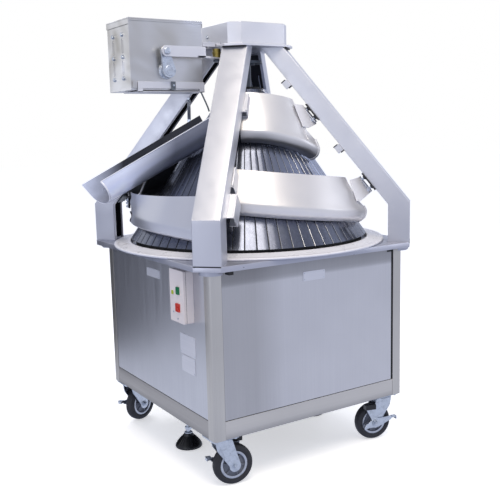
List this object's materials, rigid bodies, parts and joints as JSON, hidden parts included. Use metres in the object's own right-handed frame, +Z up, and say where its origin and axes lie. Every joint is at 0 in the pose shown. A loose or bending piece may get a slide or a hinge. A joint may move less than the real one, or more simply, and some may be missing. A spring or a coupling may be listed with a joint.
{
  "type": "dough_rounder",
  "caption": "Conical dough rounder: ribbed dark cone on a square stainless cabinet on casters, curved tracks on bent legs, discharge chute and rocking flour duster",
  "frame": {"origin": "on the floor under the cone's axis", "axes": "+Z up along the cone's shaft, -Y toward the plain wide panel, -X toward the panel with the switch box and the duster"},
  "size_m": [1.1193, 1.1, 1.677],
  "materials": {
    "stainless_sheet": "fine brushed, satin",
    "frame_steel": "warm grey satin",
    "silver_paint": "pale silver-grey, semi-gloss",
    "ring_coat": "off-white, smooth",
    "cone_coat": "dark grey non-stick coating, glossy",
    "zinc": "zinc-plated, bright",
    "mount_steel": "dark blue-grey",
    "bronze": "machined",
    "cast_body": "painted, rough",
    "motor_paint": "grey-blue",
    "box_plastic": "light grey, fine texture",
    "button_green": "glossy green",
    "button_red": "glossy red",
    "lamp_lens": "translucent yellow-green",
    "wheel_rim": "grey, satin",
    "tyre_rubber": "black, matt",
    "foot_black": "black, semi-gloss"
  },
  "bodies": {
    "frame": {"cabinet_frame": "frame_steel", "panel_front": "stainless_sheet", "panel_left": "stainless_sheet", "panel_right": "stainless_sheet", "panel_rear": "stainless_sheet", "deck_plate": "silver_paint", "rim_ring": "ring_coat", "leg_front": "silver_paint", "leg_right": "silver_paint", "leg_left": "silver_paint", "leg_rear": "silver_paint", "frame_bolts": "zinc", "top_plate": "silver_paint", "top_cap": "silver_paint", "shaft_bearings": "cast_body", "track_lower_front": "silver_paint", "track_lower_left": "silver_paint", "track_rear_left": "silver_paint", "track_rear_right": "silver_paint", "track_upper_front": "silver_paint", "discharge_chute": "silver_paint", "track_mounts": "mount_steel", "duster_hopper": "stainless_sheet", "duster_bracket": "silver_paint", "control_box": "box_plastic", "indicator_lamp": "lamp_lens", "gear_reducer": "cast_body", "drive_motor": "motor_paint", "caster_plates": "zinc"},
    "cone": {"cone_drum": "cone_coat", "main_shaft": "zinc", "worm_wheel": "bronze"},
    "rotor": {"motor_rotor": "zinc"},
    "crank": {"duster_crank": "zinc", "duster_roller": "zinc"},
    "link": {"link_bar": "silver_paint", "pivot_bush": "bronze"},
    "strap": {"eccentric_strap": "zinc"},
    "lid": {"duster_lid": "stainless_sheet"},
    "gate": {"duster_slide": "silver_paint"},
    "start": {"start_button": "button_green"},
    "stop": {"stop_button": "button_red"},
    "left_foot": {"foot_left": "foot_black"},
    "right_foot": {"foot_right": "foot_black"},
    "swivel_front": {"fork_front": "zinc"},
    "wheel_front": {"rim_front": "wheel_rim", "tyre_front": "tyre_rubber"},
    "brake_front": {"pedal_front": "zinc"},
    "swivel_right": {"fork_right": "zinc"},
    "wheel_right": {"rim_right": "wheel_rim", "tyre_right": "tyre_rubber"},
    "brake_right": {"pedal_right": "zinc"},
    "swivel_left": {"fork_left": "zinc"},
    "wheel_left": {"rim_left": "wheel_rim", "tyre_left": "tyre_rubber"},
    "brake_left": {"pedal_left": "zinc"},
    "swivel_rear": {"fork_rear": "zinc"},
    "wheel_rear": {"rim_rear": "wheel_rim", "tyre_rear": "tyre_rubber"},
    "brake_rear": {"pedal_rear": "zinc"}
  },
  "joints": [
    {"name": "cone_spin", "type": "hinge", "parent": "frame", "child": "cone", "pos_m": [0, 0, 0.85], "axis": [0, 0, 1], "continuous": true},
    {"name": "rotor_spin", "type": "hinge", "parent": "frame", "child": "rotor", "pos_m": [0, 0.095, 0.66], "axis": [1, 0, 0], "continuous": true},
    {"name": "crank_swing", "type": "hinge", "parent": "frame", "child": "crank", "pos_m": [-0.376, -0.07, 1.491], "axis": [0, 1, 0], "range_deg": [-8, 8]},
    {"name": "link_pin", "type": "hinge", "parent": "crank", "child": "link", "pos_m": [-0.39004, -0.088, 1.55999], "axis": [0, 1, 0], "range_deg": [-8, 8]},
    {"name": "strap_pivot", "type": "hinge", "parent": "link", "child": "strap", "pos_m": [-0.152, -0.04, 1.535], "axis": [0, 0, 1], "range_deg": [-4, 4]},
    {"name": "lid_hinge", "type": "hinge", "parent": "frame", "child": "lid", "pos_m": [-0.37, 0.154, 1.663], "axis": [-1, 0, 0], "range_deg": [0, 100]},
    {"name": "gate_slide", "type": "slide", "parent": "frame", "child": "gate", "axis": [1, 0, 0], "range_m": [0, 0.03]},
    {"name": "start_press", "type": "slide", "parent": "frame", "child": "start", "axis": [1, 0, 0], "range_m": [0, 0.004], "stiffness_N_per_m": 600},
    {"name": "stop_press", "type": "slide", "parent": "frame", "child": "stop", "axis": [1, 0, 0], "range_m": [0, 0.004], "stiffness_N_per_m": 600},
    {"name": "left_foot_screw", "type": "slide", "parent": "frame", "child": "left_foot", "axis": [0, 0, 1], "range_m": [0, 0.04]},
    {"name": "right_foot_screw", "type": "slide", "parent": "frame", "child": "right_foot", "axis": [0, 0, 1], "range_m": [0, 0.04]},
    {"name": "swivel_front", "type": "hinge", "parent": "frame", "child": "swivel_front", "pos_m": [-0.384, -0.384, 0.18], "axis": [0, 0, 1], "continuous": true},
    {"name": "roll_front", "type": "hinge", "parent": "swivel_front", "child": "wheel_front", "pos_m": [-0.34264, -0.39129, 0.075], "axis": [-0.1736, -0.9848, 0], "continuous": true},
    {"name": "brake_front", "type": "hinge", "parent": "swivel_front", "child": "brake_front", "pos_m": [-0.34264, -0.39129, 0.075], "axis": [-0.1736, -0.9848, 0], "range_deg": [0, 12]},
    {"name": "swivel_right", "type": "hinge", "parent": "frame", "child": "swivel_right", "pos_m": [0.384, -0.384, 0.18], "axis": [0, 0, 1], "continuous": true},
    {"name": "roll_right", "type": "hinge", "parent": "swivel_right", "child": "wheel_right", "pos_m": [0.34343, -0.37313, 0.075], "axis": [0.2588, 0.9659, 0], "continuous": true},
    {"name": "brake_right", "type": "hinge", "parent": "swivel_right", "child": "brake_right", "pos_m": [0.34343, -0.37313, 0.075], "axis": [0.2588, 0.9659, 0], "range_deg": [0, 12]},
    {"name": "swivel_left", "type": "hinge", "parent": "frame", "child": "swivel_left", "pos_m": [-0.384, 0.384, 0.18], "axis": [0, 0, 1], "continuous": true},
    {"name": "roll_left", "type": "hinge", "parent": "swivel_left", "child": "wheel_left", "pos_m": [-0.34453, 0.39837, 0.075], "axis": [0.342, -0.9397, 0], "continuous": true},
    {"name": "brake_left", "type": "hinge", "parent": "swivel_left", "child": "brake_left", "pos_m": [-0.34453, 0.39837, 0.075], "axis": [0.342, -0.9397, 0], "range_deg": [0, 12]},
    {"name": "swivel_rear", "type": "hinge", "parent": "frame", "child": "swivel_rear", "pos_m": [0.384, 0.384, 0.18], "axis": [0, 0, 1], "continuous": true},
    {"name": "roll_rear", "type": "hinge", "parent": "swivel_rear", "child": "wheel_rear", "pos_m": [0.34593, 0.36625, 0.075], "axis": [-0.4226, 0.9063, 0], "continuous": true},
    {"name": "brake_rear", "type": "hinge", "parent": "swivel_rear", "child": "brake_rear", "pos_m": [0.34593, 0.36625, 0.075], "axis": [-0.4226, 0.9063, 0], "range_deg": [0, 12]}
  ],
  "couplings": [
    {"joint": "rotor_spin", "follows": "cone_spin", "ratio": 30},
    {"joint": "link_pin", "follows": "crank_swing", "ratio": -1}
  ]
}
